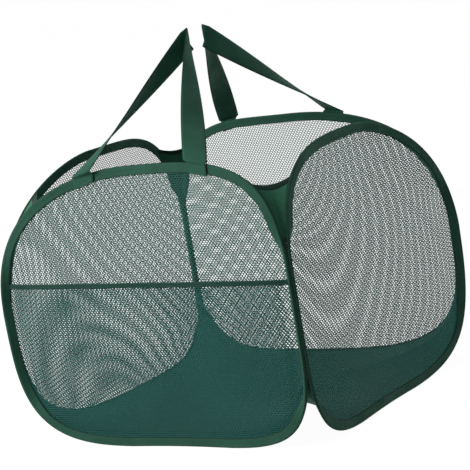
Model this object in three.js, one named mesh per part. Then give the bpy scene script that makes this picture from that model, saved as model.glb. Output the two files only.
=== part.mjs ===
// Pop up laundry hamper: four sprung mesh panels sewn edge to edge, a soft bottom and two webbing handles.
// Millimetres. X runs right along the front panel, Y to the back, Z up. The origin is under the middle.
// Each panel is drawn flat in its own u, v, w (along it, up from its middle, outward) and then bowed.
// The hamper looks the same after half a turn about Z, so back and left repeat front and right.
import * as THREE from 'three';

// Panels, over their edge tapes
const FRONT_SPAN = 448;
const SIDE_SPAN = 434;
const HEIGHT = 360;
// How far the middle of a hoop leans in
const FRONT_TOP_LEAN = 27;
const FRONT_FOOT_LEAN = 13.5;
const SIDE_TOP_LEAN = 18;
const SIDE_FOOT_LEAN = 11;
// Depth of the flat that each hoop stands on
const FOOT_FLAT = 0.5;

// Spring steel strip, its crimped sleeve and the room round them
const STRIP_WIDTH = 2.2;
const STRIP_THICKNESS = 0.9;
const STRIP_END_GAP = 1;
const FERRULE_LENGTH = 26;
const FERRULE_WALL = 0.35;
const FIT = 0.3;

// Edge tape, folded round the strip and the edge of the mesh
const TAPE_WIDTH = 12.5;
const TAPE_THICKNESS = 0.8;

// Mesh, with hexagonal gaps
const MESH_THICKNESS = 0.8;
const GAP_PITCH = 58;
const STRAND = 3.2;
const SELVEDGE = 2.4;

// Pocket on the front panel
const POCKET_HEM_HEIGHT = 215;
const POCKET_HEM_DEPTH = 6;
const POCKET_HEM_THICKNESS = 2;
const POCKET_HEM_RISE = 3;
const POCKET_HEM_TILT = 6;
const POCKET_BULGE = 7;
const POCKET_STANDOFF = 2.4;

// Bottom, gussets and their hems
const CLOTH = 1.2;
const CLOTH_GAP = 0.6;
const CORNER_RISE = 96;
const NEAR_RIDGE_POWER = 1.7;
const SIDE_RIDGE_POWER = 4;
const CORNER_TUCK_SHARE = 0.03;
const BOTTOM_INSET = 10;
const GUSSET_LAP = 6;
const HEM_DEPTH = 7;
const HEM_THICKNESS = 2.4;
const HEM_SAG = 5;

// Seams between neighbouring hoops
const SEAM_GAP = 0.6;
const SEAM_RADIUS = 1.2;

// Handles: webbing from one base up to a crease over the middle and down to the other base
const WEBBING_WIDTH = 30;
const WEBBING_THICKNESS = 1.6;
const NEAR_BASE_X = 114;
const SIDE_BASE_X = 78;
const SEWN_LENGTH = 13;
const SEWN_RISE = 3;
const PEAK_HEIGHT = 494;
const PEAK_BEHIND = 18;
const FOLD_LINE = 5;
const FOLD_STANDOFF = 2.5;

// Counts
const HOOP_STEPS = 48;
const SHEET_STEPS = 14;
const POCKET_STEPS = 8;
const GUSSET_ROWS = 7;
const LEG_STEPS = 9;
const SEAM_SIDES = 10;

// Extra weight that a turn of the hoop gets when its steps are laid out, as a radius
const TURN_RADIUS = 60;

// How square each quarter of a hoop is: 2 is an ellipse and more is squarer
const FRONT_SQUARENESS_SHARES = { nearTop: 4, sideTop: 2.2, nearFoot: 5, sideFoot: 3.7 };
const SIDE_SQUARENESS_SHARES = { nearTop: 4, sideTop: 1.9, nearFoot: 5.4, sideFoot: 3.5 };

// Shares of the height where the seams and the gusset hems lie, by kind of corner
const NEAR_CORNER_SHARES = { seamFoot: 0.21, seamTop: 0.69, gussetFoot: 0.72, hem: 0.91 };
const SIDE_CORNER_SHARES = { seamFoot: 0.24, seamTop: 0.6, gussetFoot: 0.63, hem: 0.9 };

const ferruleHalfDepth = STRIP_THICKNESS / 2 + FIT + FERRULE_WALL;
const ferruleHalfWidth = STRIP_WIDTH / 2 + FIT + FERRULE_WALL;
const roomHalfWidth = ferruleHalfWidth + FIT;
const tapeHalf = roomHalfWidth + TAPE_THICKNESS;
const noseWall = TAPE_THICKNESS + FIT;
const stripInset = noseWall + FIT + ferruleHalfDepth;
const roomEnd = stripInset + ferruleHalfDepth + FIT;
const legGap = MESH_THICKNESS / 2 + FIT;
const panelOffset = SEAM_GAP + tapeHalf;
const quarterTurn = Math.PI / 2;

const front = {
  half: FRONT_SPAN / 2,
  plane: SIDE_SPAN / 2 + panelOffset,
  topLean: FRONT_TOP_LEAN,
  footLean: FRONT_FOOT_LEAN,
  squareness: FRONT_SQUARENESS_SHARES,
  nearSign: 1,
};
const side = {
  half: SIDE_SPAN / 2,
  plane: FRONT_SPAN / 2 + panelOffset,
  topLean: SIDE_TOP_LEAN,
  footLean: SIDE_FOOT_LEAN,
  squareness: SIDE_SQUARENESS_SHARES,
  nearSign: -1,
};
const panels = [
  { name: 'front', shape: front },
  { name: 'right', shape: side },
  { name: 'back', shape: front },
  { name: 'left', shape: side },
];

const tapeColour = new THREE.Color(0.09, 0.24, 0.18);
const clothColour = new THREE.Color(0.05, 0.22, 0.18);
const meshColour = new THREE.Color(0.24, 0.42, 0.36);
const steelColour = new THREE.Color(0.55, 0.56, 0.58);

function powerQuarter(shape, alongSign, upSign) {
  const near = alongSign === shape.nearSign;
  const { nearTop, sideTop, nearFoot, sideFoot } = shape.squareness;
  if (upSign > 0) return near ? nearTop : sideTop;
  return near ? nearFoot : sideFoot;
}

// A point of the hoop's outer edge and the direction into the panel there, both in u and v
function edgeAt(shape, angle) {
  const c = Math.cos(angle);
  const s = Math.sin(angle);
  const power = powerQuarter(shape, Math.sign(c) || 1, Math.sign(s) || 1);
  const halfHeight = s < 0 ? HEIGHT / 2 + FOOT_FLAT : HEIGHT / 2;
  const across = Math.abs(c) ** (2 / power);
  const up = Math.abs(s) ** (2 / power);
  const point = new THREE.Vector2(Math.sign(c) * across * shape.half, Math.sign(s) * up * halfHeight);
  const inward = new THREE.Vector2(
    (-Math.sign(c) * across ** (power - 1)) / shape.half,
    (-Math.sign(s) * up ** (power - 1)) / halfHeight,
  ).normalize();
  point.y = Math.max(point.y, -HEIGHT / 2);
  return { point, inward };
}

// Half the width of a hoop at height v, on the side given by alongSign
function reachAt(shape, alongSign, v) {
  const power = powerQuarter(shape, alongSign, v < 0 ? -1 : 1);
  return shape.half * (1 - (Math.abs(v) / (HEIGHT / 2)) ** power) ** (1 / power);
}

// Height of the hoop's upper arc above the panel's middle, at a place along the panel
function arcHeight(shape, u) {
  const power = powerQuarter(shape, Math.sign(u) || 1, 1);
  return (HEIGHT / 2) * (1 - (Math.abs(u) / shape.half) ** power) ** (1 / power);
}

// Places along the hoop, closer together where it turns
function layOutSteps(shape) {
  const samples = 1440;
  const weights = [0];
  let last = edgeAt(shape, 0);
  for (let i = 1; i <= samples; i += 1) {
    const next = edgeAt(shape, (i / samples) * 4 * quarterTurn);
    const turn = Math.abs(last.inward.angleTo(next.inward));
    weights.push(weights[i - 1] + last.point.distanceTo(next.point) + TURN_RADIUS * turn);
    last = next;
  }
  const angles = [];
  let index = 0;
  for (let step = 0; step < HOOP_STEPS; step += 1) {
    const wanted = (weights[samples] * (step + 0.5)) / HOOP_STEPS;
    while (weights[index + 1] < wanted) index += 1;
    const part = (wanted - weights[index]) / (weights[index + 1] - weights[index]);
    angles.push(((index + part) / samples) * 4 * quarterTurn);
  }
  return angles;
}
for (const shape of [front, side]) shape.edge = layOutSteps(shape).map((angle) => edgeAt(shape, angle));

// From the flat panel to the bowed one, as the front panel stands
function bowed(shape, u, v, w) {
  const lean = v > 0 ? shape.topLean : shape.footLean;
  const inward = lean * Math.cos((quarterTurn * u) / shape.half) ** 2 * (v / (HEIGHT / 2)) ** 2;
  return new THREE.Vector3(u, -(shape.plane - inward + w), v + HEIGHT / 2);
}

function insetPoint(edge, inset) {
  return edge.point.clone().addScaledVector(edge.inward, inset);
}

// A cross-section of [inset, w] points, stood up at one step of the hoop
function ringAtStep(shape, step, section) {
  const edge = shape.edge[((step % HOOP_STEPS) + HOOP_STEPS) % HOOP_STEPS];
  return section.map(([inset, w]) => {
    const flat = insetPoint(edge, inset);
    return bowed(shape, flat.x, flat.y, w);
  });
}

// The same between two steps, on the straight stretch that joins them
function ringBetween(shape, place, section) {
  const step = Math.floor(place);
  const low = ringAtStep(shape, step, section);
  const high = ringAtStep(shape, step + 1, section);
  return low.map((point, i) => point.lerp(high[i], place - step));
}

function facingOut(vertices, triangles) {
  let volume = 0;
  for (const [a, b, c] of triangles) {
    volume += vertices[a].dot(vertices[b].clone().cross(vertices[c]));
  }
  const ordered = volume < 0 ? triangles.map(([a, b, c]) => [a, c, b]) : triangles;
  const geometry = new THREE.BufferGeometry().setFromPoints(vertices);
  geometry.setIndex(ordered.flat());
  geometry.computeVertexNormals();
  return geometry;
}

// Joins rings of equal length into one skin, closed on itself or capped at its ends.
// Faces across a ring from each other are cut along matching diagonals, so a thin strap may twist.
function sweep(rings, closed) {
  const count = rings[0].length;
  const vertices = rings.flat();
  const triangles = [];
  const spans = closed ? rings.length : rings.length - 1;
  for (let i = 0; i < spans; i += 1) {
    const near = i * count;
    const far = ((i + 1) % rings.length) * count;
    for (let j = 0; j < count; j += 1) {
      const k = (j + 1) % count;
      if (j + j < count) triangles.push([near + j, near + k, far + k], [near + j, far + k, far + j]);
      else triangles.push([near + j, near + k, far + j], [near + k, far + k, far + j]);
    }
  }
  const end = (rings.length - 1) * count;
  for (let j = 1; !closed && j < count - 1; j += 1) {
    triangles.push([0, j + 1, j], [end, end + j, end + j + 1]);
  }
  return facingOut(vertices, triangles);
}

// A sheet given by a grid of points on its middle, thickened along one direction
function slab(grid, thickness) {
  const rows = grid.length;
  const columns = grid[0].length;
  const middle = grid.flat();
  const upper = middle.map((point) => point.clone().addScaledVector(thickness, 0.5));
  const lower = middle.map((point) => point.clone().addScaledVector(thickness, -0.5));
  const below = middle.length;
  const triangles = [];
  const at = (row, column) => row * columns + column;
  for (let row = 0; row < rows - 1; row += 1) {
    for (let column = 0; column < columns - 1; column += 1) {
      const a = at(row, column);
      const b = at(row, column + 1);
      const c = at(row + 1, column + 1);
      const d = at(row + 1, column);
      triangles.push([a, b, c], [a, c, d]);
      triangles.push([below + a, below + c, below + b], [below + a, below + d, below + c]);
    }
  }
  const rim = [];
  for (let column = 0; column < columns - 1; column += 1) rim.push(at(0, column));
  for (let row = 0; row < rows - 1; row += 1) rim.push(at(row, columns - 1));
  for (let column = columns - 1; column > 0; column -= 1) rim.push(at(rows - 1, column));
  for (let row = rows - 1; row > 0; row -= 1) rim.push(at(row, 0));
  rim.forEach((a, i) => {
    const b = rim[(i + 1) % rim.length];
    triangles.push([a, below + a, below + b], [a, below + b, b]);
  });
  return facingOut([...upper, ...lower], triangles);
}

// Half the thickness of the folded tape's legs at an inset
function legHalf(inset) {
  return THREE.MathUtils.mapLinear(inset, tapeHalf, TAPE_WIDTH, tapeHalf, legGap + TAPE_THICKNESS);
}

// Edge tape: a round nose over the strip, and two legs that close on the mesh
function tapeSection() {
  const noseDepth = tapeHalf * 0.3;
  const noseWidth = tapeHalf * 0.8;
  const flatHalf = tapeHalf / 3;
  const half = [
    [0, flatHalf],
    [noseDepth, noseWidth],
    [tapeHalf, tapeHalf],
    [TAPE_WIDTH, legHalf(TAPE_WIDTH)],
    [TAPE_WIDTH, legGap],
    [roomEnd, roomHalfWidth],
    [noseWall + FIT, roomHalfWidth],
    [noseWall, roomHalfWidth - FIT],
  ];
  return [...half, ...half.map(([inset, w]) => [inset, -w]).reverse()];
}

function bindingGeometry(shape) {
  const section = tapeSection();
  return sweep(shape.edge.map((_, step) => ringAtStep(shape, step, section)), true);
}

function boxSection(halfDepth, halfWidth) {
  return [
    [stripInset - halfDepth, -halfWidth],
    [stripInset - halfDepth, halfWidth],
    [stripInset + halfDepth, halfWidth],
    [stripInset + halfDepth, -halfWidth],
  ];
}

// The step at the middle of the foot, where the strip's ends meet
function footPlace(shape) {
  let place = 0;
  shape.edge.forEach((edge, step) => {
    const next = shape.edge[(step + 1) % HOOP_STEPS];
    if (edge.point.y < 0 && edge.point.x < 0 && next.point.x >= 0) place = step;
  });
  return place;
}

function footLength(shape, place) {
  return shape.edge[place].point.distanceTo(shape.edge[(place + 1) % HOOP_STEPS].point);
}

function stripGeometry(shape) {
  const section = boxSection(STRIP_THICKNESS / 2, STRIP_WIDTH / 2);
  const place = footPlace(shape);
  const halfGap = STRIP_END_GAP / 2 / footLength(shape, place);
  const rings = [ringBetween(shape, place + 0.5 + halfGap, section)];
  for (let step = 1; step <= HOOP_STEPS; step += 1) rings.push(ringAtStep(shape, place + step, section));
  rings.push(ringBetween(shape, place + HOOP_STEPS + 0.5 - halfGap, section));
  return sweep(rings, false);
}

function ferruleGeometry(shape) {
  const place = footPlace(shape);
  const halfLength = FERRULE_LENGTH / 2 / footLength(shape, place);
  const outer = boxSection(ferruleHalfDepth, ferruleHalfWidth);
  const bore = boxSection(ferruleHalfDepth - FERRULE_WALL, ferruleHalfWidth - FERRULE_WALL);
  const start = place + 0.5 - halfLength;
  const end = place + 0.5 + halfLength;
  const rings = [
    ringBetween(shape, start, outer),
    ringBetween(shape, end, outer),
    ringBetween(shape, end, bore),
    ringBetween(shape, start, bore),
  ];
  return sweep(rings, true);
}

function signedArea(polygon) {
  return THREE.ShapeUtils.area(polygon);
}

// Keeps the part of a polygon that lies inside a convex outline
function clipTo(polygon, outline) {
  let kept = polygon;
  for (let i = 0; i < outline.length && kept.length > 0; i += 1) {
    const from = outline[i];
    const along = outline[(i + 1) % outline.length].clone().sub(from);
    const heights = kept.map((point) => along.cross(point.clone().sub(from)));
    const next = [];
    kept.forEach((point, j) => {
      const k = (j + 1) % kept.length;
      if (heights[j] > 0) next.push(point);
      if (heights[j] > 0 !== heights[k] > 0) {
        next.push(point.clone().lerp(kept[k], heights[j] / (heights[j] - heights[k])));
      }
    });
    kept = next;
  }
  return kept;
}

function dropShortSides(polygon) {
  const shortest = STRAND / 2;
  return polygon.filter((point, i) => point.distanceTo(polygon[(i + 1) % polygon.length]) > shortest);
}

// Hexagonal gaps on a staggered grid, cut off at the selvedge
function meshGaps(outline) {
  const radius = (GAP_PITCH - STRAND) / Math.sqrt(3);
  const rowPitch = (GAP_PITCH * Math.sqrt(3)) / 2;
  const wholeArea = (3 * Math.sqrt(3) * radius ** 2) / 2;
  const smallestShare = 0.12;
  const box = new THREE.Box2().setFromPoints(outline);
  const rows = Math.ceil((box.max.y - box.min.y) / rowPitch / 2) + 1;
  const columns = Math.ceil((box.max.x - box.min.x) / GAP_PITCH / 2) + 1;
  const centre = box.getCenter(new THREE.Vector2());
  const gaps = [];
  for (let row = -rows; row <= rows; row += 1) {
    for (let column = -columns; column <= columns; column += 1) {
      const x = centre.x + (column + (row % 2 === 0 ? 0 : 0.5)) * GAP_PITCH;
      const y = centre.y + row * rowPitch;
      const hexagon = [];
      for (let corner = 0; corner < 6; corner += 1) {
        const angle = ((corner + 0.5) / 6) * 4 * quarterTurn;
        hexagon.push(new THREE.Vector2(x + radius * Math.cos(angle), y + radius * Math.sin(angle)));
      }
      const gap = dropShortSides(clipTo(hexagon, outline));
      if (gap.length > 2 && signedArea(gap) > wholeArea * smallestShare) gaps.push(gap);
    }
  }
  return gaps;
}

// A flat plate with holes, and an optional border outside the outline, then stood up by place
function piercedPlate(outline, gaps, border, place) {
  const triangles = THREE.ShapeUtils.triangulateShape(outline, gaps).map((face) => [...face]);
  const flat = [...outline, ...gaps.flat()];
  const walls = [];
  let first = outline.length;
  for (const gap of gaps) {
    gap.forEach((_, i) => walls.push([first + ((i + 1) % gap.length), first + i]));
    first += gap.length;
  }
  const count = outline.length;
  if (border) {
    flat.push(...border);
    for (let i = 0; i < count; i += 1) {
      const k = (i + 1) % count;
      triangles.push([i, first + i, first + k], [i, first + k, k]);
      walls.push([first + i, first + k]);
    }
  } else {
    outline.forEach((_, i) => walls.push([i, (i + 1) % count]));
  }
  const total = flat.length;
  const upper = flat.map((point) => place(point, MESH_THICKNESS / 2));
  const lower = flat.map((point) => place(point, -MESH_THICKNESS / 2));
  const skin = [];
  for (const [a, b, c] of triangles) skin.push([a, b, c], [total + a, total + c, total + b]);
  for (const [a, b] of walls) skin.push([a, total + a, total + b], [a, total + b, b]);
  return facingOut([...upper, ...lower], skin);
}

function meshGeometry(shape) {
  const border = shape.edge.map((edge) => insetPoint(edge, roomEnd + FIT));
  const outline = shape.edge.map((edge) => insetPoint(edge, TAPE_WIDTH + SELVEDGE / 2));
  const gapLimit = shape.edge.map((edge) => insetPoint(edge, TAPE_WIDTH + SELVEDGE));
  const place = (point, w) => bowed(shape, point.x, point.y, w);
  return piercedPlate(outline, meshGaps(gapLimit), border, place);
}

const pocketTop = POCKET_HEM_HEIGHT - HEIGHT / 2;

// How far the pocket stands off the panel's middle at a point
function pocketOffset(u, v) {
  const foot = TAPE_WIDTH - HEIGHT / 2;
  const rise = THREE.MathUtils.clamp((v - foot) / (pocketTop - foot), 0, 1);
  const bulge = POCKET_BULGE * Math.cos((quarterTurn * u) / front.half) ** 2 * Math.sin(quarterTurn * rise);
  return POCKET_STANDOFF + bulge;
}

// How far the hem drops from its middle towards its ends
function hemDrop(u) {
  const along = u / front.half;
  return POCKET_HEM_RISE * along ** 2 + POCKET_HEM_TILT * along;
}

// The ends of the hem, or of a line beside it, inset from the hoop
function hemEnds(top, inset) {
  const dropped = (end) => top - hemDrop(end * front.half);
  return [-1, 1].map((end) => end * (reachAt(front, end, dropped(end)) - inset));
}

// The stretch of the hoop below the hem, inset, and closed along the hem
function pocketOutline(inset, top) {
  const inside = front.edge.map((edge) => insetPoint(edge, inset));
  const isBelow = (point) => point.y < top - hemDrop(point.x) - STRAND;
  const below = (step) => isBelow(inside[step % HOOP_STEPS]);
  let step = 0;
  while (below(step)) step += 1;
  while (!below(step)) step += 1;
  const outline = [];
  for (; below(step); step += 1) outline.push(inside[step % HOOP_STEPS]);
  const [left, right] = hemEnds(top, inset);
  for (let i = 0; i <= POCKET_STEPS; i += 1) {
    const u = THREE.MathUtils.lerp(right, left, i / POCKET_STEPS);
    outline.push(new THREE.Vector2(u, top - hemDrop(u)));
  }
  return outline;
}

function pocketMeshGeometry() {
  const inset = TAPE_WIDTH + FIT;
  const top = pocketTop - POCKET_HEM_DEPTH / 2 - FIT;
  const outline = pocketOutline(inset, top);
  const gaps = meshGaps(pocketOutline(inset + SELVEDGE, top - SELVEDGE));
  const place = (point, w) => bowed(front, point.x, point.y, pocketOffset(point.x, point.y) + w);
  return piercedPlate(outline, gaps, null, place);
}

function pocketHemGeometry() {
  const inset = TAPE_WIDTH + FIT * 2;
  const upperEdge = pocketTop + POCKET_HEM_DEPTH / 2;
  const [left, right] = hemEnds(upperEdge, inset);
  const lift = (POCKET_HEM_THICKNESS - MESH_THICKNESS) / 2;
  const rows = [-0.5, 0.5].map((part) => {
    const v = pocketTop + part * POCKET_HEM_DEPTH;
    const row = [];
    for (let i = 0; i <= SHEET_STEPS; i += 1) {
      const u = THREE.MathUtils.lerp(left, right, i / SHEET_STEPS);
      row.push(bowed(front, u, v - hemDrop(u), pocketOffset(u, pocketTop) + lift));
    }
    return row;
  });
  return slab(rows, new THREE.Vector3(0, -POCKET_HEM_THICKNESS, 0));
}

// Turns a point from the front panel's place to the place of panel number turns
function turned(point, turns) {
  return point.applyAxisAngle(new THREE.Vector3(0, 0, 1), turns * quarterTurn);
}

// The lower arc of a panel from end to end, just inside its tape, as far up as the corners rise
function footArc(shape, turns) {
  const w = -(legHalf(BOTTOM_INSET - CLOTH) + CLOTH_GAP + FIT);
  const top = BOTTOM_INSET + CORNER_RISE - HEIGHT / 2;
  const arc = [];
  for (let i = 0; i <= SHEET_STEPS; i += 1) {
    const part = (2 * i) / SHEET_STEPS - 1;
    const end = Math.sign(part) || 1;
    const slide = Math.sin(quarterTurn * Math.abs(part));
    const u = end * slide * (reachAt(shape, end, top) - BOTTOM_INSET / 2);
    const power = powerQuarter(shape, end, -1);
    const drop = (1 - (Math.abs(u) / shape.half) ** power) ** (1 / power);
    const v = Math.min(top, BOTTOM_INSET - (HEIGHT / 2) * drop);
    arc.push(turned(bowed(shape, u, v, w), turns));
  }
  return arc;
}

// One coordinate of a sheet point: spaced as along the two edges beside it, between the other two
function spaced(beside, part, step, axis, from, to) {
  const at = (k) => THREE.MathUtils.lerp(beside[0][k][axis], beside[1][k][axis], part);
  return THREE.MathUtils.mapLinear(at(step), at(0), at(SHEET_STEPS), from, to);
}

// The bottom's rise: that of its nearer edge, but with a taut ridge from each corner to the middle
function bottomRise(p, q, acrossRise, alongRise) {
  const fromSide = 1 - Math.abs(2 * p - 1);
  const fromFoot = 1 - Math.abs(2 * q - 1);
  const inside = Math.max(fromSide, fromFoot);
  if (inside === 0) return CORNER_RISE;
  const ridgeShare = THREE.MathUtils.smoothstep(Math.min(fromSide, fromFoot) / inside, 0, 1);
  const isNear = (p < 0.5) !== (q < 0.5);
  const ridge = CORNER_RISE * (1 - inside) ** (isNear ? NEAR_RIDGE_POWER : SIDE_RIDGE_POWER);
  return THREE.MathUtils.lerp(fromSide > fromFoot ? acrossRise : alongRise, ridge, ridgeShare);
}

// The bottom hangs in the four lower arcs and rises into the corners between them
function bottomGeometry() {
  const south = footArc(front, 0);
  const east = footArc(side, 1);
  const north = footArc(front, 2).reverse();
  const west = footArc(side, 3).reverse();
  const grid = [];
  for (let j = 0; j <= SHEET_STEPS; j += 1) {
    const row = [];
    for (let i = 0; i <= SHEET_STEPS; i += 1) {
      const p = i / SHEET_STEPS;
      const q = j / SHEET_STEPS;
      const x = spaced([south, north], q, i, 'x', west[j].x, east[j].x);
      const y = spaced([west, east], p, j, 'y', south[i].y, north[i].y);
      const acrossRise = (q < 0.5 ? south : north)[i].z - BOTTOM_INSET;
      const alongRise = (p < 0.5 ? west : east)[j].z - BOTTOM_INSET;
      const rise = bottomRise(p, q, acrossRise, alongRise);
      const tuck = 1 - CORNER_TUCK_SHARE * (rise / CORNER_RISE) ** 2;
      row.push(new THREE.Vector3(x * tuck, y * tuck, BOTTOM_INSET + rise));
    }
    grid.push(row);
  }
  return slab(grid, new THREE.Vector3(0, 0, CLOTH));
}

// The corner at the right-hand end of panel number turns
function cornerOf(turns) {
  const near = turns % 2 === 0;
  return {
    turns,
    before: panels[turns].shape,
    after: panels[(turns + 1) % 4].shape,
    shares: near ? NEAR_CORNER_SHARES : SIDE_CORNER_SHARES,
    inward: turned(new THREE.Vector3(-1, 1, 0).normalize(), turns),
  };
}

function heightShareToV(share) {
  return share * HEIGHT - HEIGHT / 2;
}

// One row of a gusset: flat on one tape, straight across the corner, flat on the next tape
function gussetRow(corner, v, drop) {
  const w = -(tapeHalf + CLOTH_GAP + CLOTH / 2);
  const on = (shape, alongSign, lap, turns) => {
    const u = alongSign * (reachAt(shape, alongSign, v) - lap);
    return turned(bowed(shape, u, v, w), turns);
  };
  const first = on(corner.before, 1, GUSSET_LAP, corner.turns);
  const second = on(corner.before, 1, 0, corner.turns);
  const third = on(corner.after, -1, 0, corner.turns + 1);
  const last = on(corner.after, -1, GUSSET_LAP, corner.turns + 1);
  const across = [0.25, 0.5, 0.75].map((part) => {
    const point = second.clone().lerp(third, part);
    point.z -= 4 * drop * part * (1 - part);
    return point;
  });
  return [first, second, ...across, third, last];
}

function gussetGeometry(corner) {
  const low = heightShareToV(corner.shares.gussetFoot);
  const high = heightShareToV(corner.shares.hem) - HEM_DEPTH - FIT;
  const rows = [];
  for (let i = 0; i < GUSSET_ROWS; i += 1) {
    const part = i / (GUSSET_ROWS - 1);
    rows.push(gussetRow(corner, THREE.MathUtils.lerp(low, high, part), HEM_SAG * part ** 2));
  }
  return slab(rows, corner.inward.clone().multiplyScalar(CLOTH));
}

function hemGeometry(corner) {
  const top = heightShareToV(corner.shares.hem);
  const rows = [top - HEM_DEPTH, top].map((v) => gussetRow(corner, v, HEM_SAG));
  const lift = corner.inward.clone().multiplyScalar((HEM_THICKNESS - CLOTH) / 2);
  for (const point of rows.flat()) point.add(lift);
  return slab(rows, corner.inward.clone().multiplyScalar(HEM_THICKNESS));
}

// The fold line between two panels, as a row of stitches would lie
function seamMesh(corner) {
  const foot = corner.shares.seamFoot * HEIGHT;
  const top = corner.shares.seamTop * HEIGHT;
  const geometry = new THREE.CylinderGeometry(SEAM_RADIUS, SEAM_RADIUS, top - foot, SEAM_SIDES);
  geometry.rotateX(quarterTurn);
  const x = corner.before.half + SEAM_GAP / 2;
  const y = -(corner.after.half + SEAM_GAP / 2);
  const place = turned(new THREE.Vector3(x, y, 0), corner.turns);
  geometry.translate(place.x, place.y, (foot + top) / 2);
  return geometry;
}

const sewnOffset = tapeHalf + CLOTH_GAP + WEBBING_THICKNESS / 2;

// Where a handle's fold line crosses the middle of one base
function handleBase(u) {
  const innerU = Math.sign(u) * (Math.abs(u) - WEBBING_WIDTH / 2);
  const v = arcHeight(front, innerU) + SEWN_RISE;
  return bowed(front, u, v, sewnOffset + FOLD_STANDOFF);
}

const farBase = handleBase(-SIDE_BASE_X);
const nearBase = handleBase(NEAR_BASE_X);
const foldAxis = nearBase.clone().sub(farBase).normalize();
const peak = new THREE.Vector3(0, -PEAK_BEHIND, PEAK_HEIGHT);

function strapRing(centre, width, across, thickness) {
  const halfWide = width.clone().multiplyScalar(WEBBING_WIDTH / 2);
  const halfThick = across.clone().multiplyScalar(thickness / 2);
  return [
    centre.clone().add(halfWide).add(halfThick),
    centre.clone().add(halfWide).sub(halfThick),
    centre.clone().sub(halfWide).sub(halfThick),
    centre.clone().sub(halfWide).add(halfThick),
  ];
}

// One leg, from its fold line up: it starts slanted and turns a quarter turn on its way to the crease
function legRings(base, widthAtBase) {
  const along = peak.clone().sub(base);
  const length = along.length();
  along.normalize();
  const up = new THREE.Vector3(0, 0, 1);
  const start = widthAtBase.clone().addScaledVector(along, -widthAtBase.dot(along)).normalize();
  const end = up.clone().addScaledVector(along, -up.dot(along)).normalize();
  const turn = Math.atan2(start.clone().cross(end).dot(along), start.dot(end));
  const slant = widthAtBase.dot(along) / widthAtBase.dot(start);
  const ringAt = (part, thickness) => {
    const width = start.clone().applyAxisAngle(along, turn * part);
    const across = along.clone().cross(width);
    width.addScaledVector(along, slant * (1 - part));
    return strapRing(base.clone().addScaledVector(along, part * length), width, across, thickness);
  };
  const rings = [ringAt(FIT / length, FIT)];
  for (let i = 0; i < LEG_STEPS; i += 1) {
    rings.push(ringAt(THREE.MathUtils.lerp(FOLD_LINE / length, 1, i / LEG_STEPS), WEBBING_THICKNESS));
  }
  return rings;
}

function handleGeometry() {
  const rising = legRings(farBase, foldAxis);
  const falling = legRings(nearBase, foldAxis.clone().negate()).reverse();
  const mirrored = falling.map(([a, b, c, d]) => [b, a, d, c]);
  const legAngle = peak.clone().sub(farBase).setZ(0).angleTo(peak.clone().sub(nearBase).setZ(0)) / 2;
  const creaseDepth = WEBBING_THICKNESS / Math.sin(legAngle);
  const crease = strapRing(peak, new THREE.Vector3(0, 0, 1), new THREE.Vector3(0, -1, 0), creaseDepth);
  return sweep([...rising, crease, ...mirrored], false);
}

// The sewn end of a handle, flat on the tape and thinned to the fold line
function sewnEndGeometry(base, u) {
  const ends = [-WEBBING_WIDTH / 2, WEBBING_WIDTH / 2];
  const ring = ([left, right], thickness) => {
    const half = new THREE.Vector3(0, -thickness / 2, 0);
    const outer = [left, right].map((point) => point.clone().add(half));
    const inner = [right, left].map((point) => point.clone().sub(half));
    return [...outer, ...inner];
  };
  const drop = new THREE.Vector3(0, 0, -FIT);
  const rings = [ring(ends.map((part) => base.clone().addScaledVector(foldAxis, part).add(drop)), FIT)];
  for (const down of [FOLD_LINE, SEWN_LENGTH + SEWN_RISE]) {
    const v = base.z - HEIGHT / 2 - down;
    rings.push(ring(ends.map((part) => bowed(front, u + part, v, sewnOffset)), WEBBING_THICKNESS));
  }
  return sweep(rings, false);
}

function material(colour, roughness, metalness) {
  return new THREE.MeshStandardMaterial({ color: colour, roughness, metalness });
}

const hamper = new THREE.Group();

function add(parent, name, geometry, colour, roughness = 0.85, metalness = 0) {
  const mesh = new THREE.Mesh(geometry, material(colour, roughness, metalness));
  mesh.name = name;
  parent.add(mesh);
  return mesh;
}

const stands = panels.map((panel, turns) => {
  const stand = new THREE.Group();
  stand.rotation.z = turns * quarterTurn;
  hamper.add(stand);
  add(stand, `${panel.name}_hoop`, stripGeometry(panel.shape), steelColour, 0.35, 0.9);
  add(stand, `${panel.name}_ferrule`, ferruleGeometry(panel.shape), steelColour, 0.4, 0.9);
  add(stand, `${panel.name}_binding`, bindingGeometry(panel.shape), tapeColour);
  add(stand, `${panel.name}_mesh`, meshGeometry(panel.shape), meshColour);
  return stand;
});

add(stands[0], 'pocket_mesh', pocketMeshGeometry(), meshColour);
add(stands[0], 'pocket_hem', pocketHemGeometry(), tapeColour);
add(hamper, 'bottom_panel', bottomGeometry(), clothColour);

const cornerNames = ['front_right', 'right_back', 'back_left', 'left_front'];
cornerNames.forEach((name, turns) => {
  const corner = cornerOf(turns);
  add(hamper, `${name}_gusset`, gussetGeometry(corner), clothColour);
  add(hamper, `${name}_hem`, hemGeometry(corner), tapeColour);
  add(hamper, `${name}_seam`, seamMesh(corner), tapeColour);
});

for (const turns of [0, 2]) {
  const { name } = panels[turns];
  add(stands[turns], `${name}_handle`, handleGeometry(), tapeColour);
  add(stands[turns], `${name}_handle_near_end`, sewnEndGeometry(nearBase, NEAR_BASE_X), tapeColour);
  add(stands[turns], `${name}_handle_far_end`, sewnEndGeometry(farBase, -SIDE_BASE_X), tapeColour);
}

export default hamper;
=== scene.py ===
# Pop up laundry hamper: four sprung mesh panels, a soft bottom, gussets, a pocket and two handles.
# Shapes are worked out in millimetres, as in the CAD source, and become metres when a mesh is made.
import math
import random

import bpy
import numpy as np
from mathutils import Matrix, Vector


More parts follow.
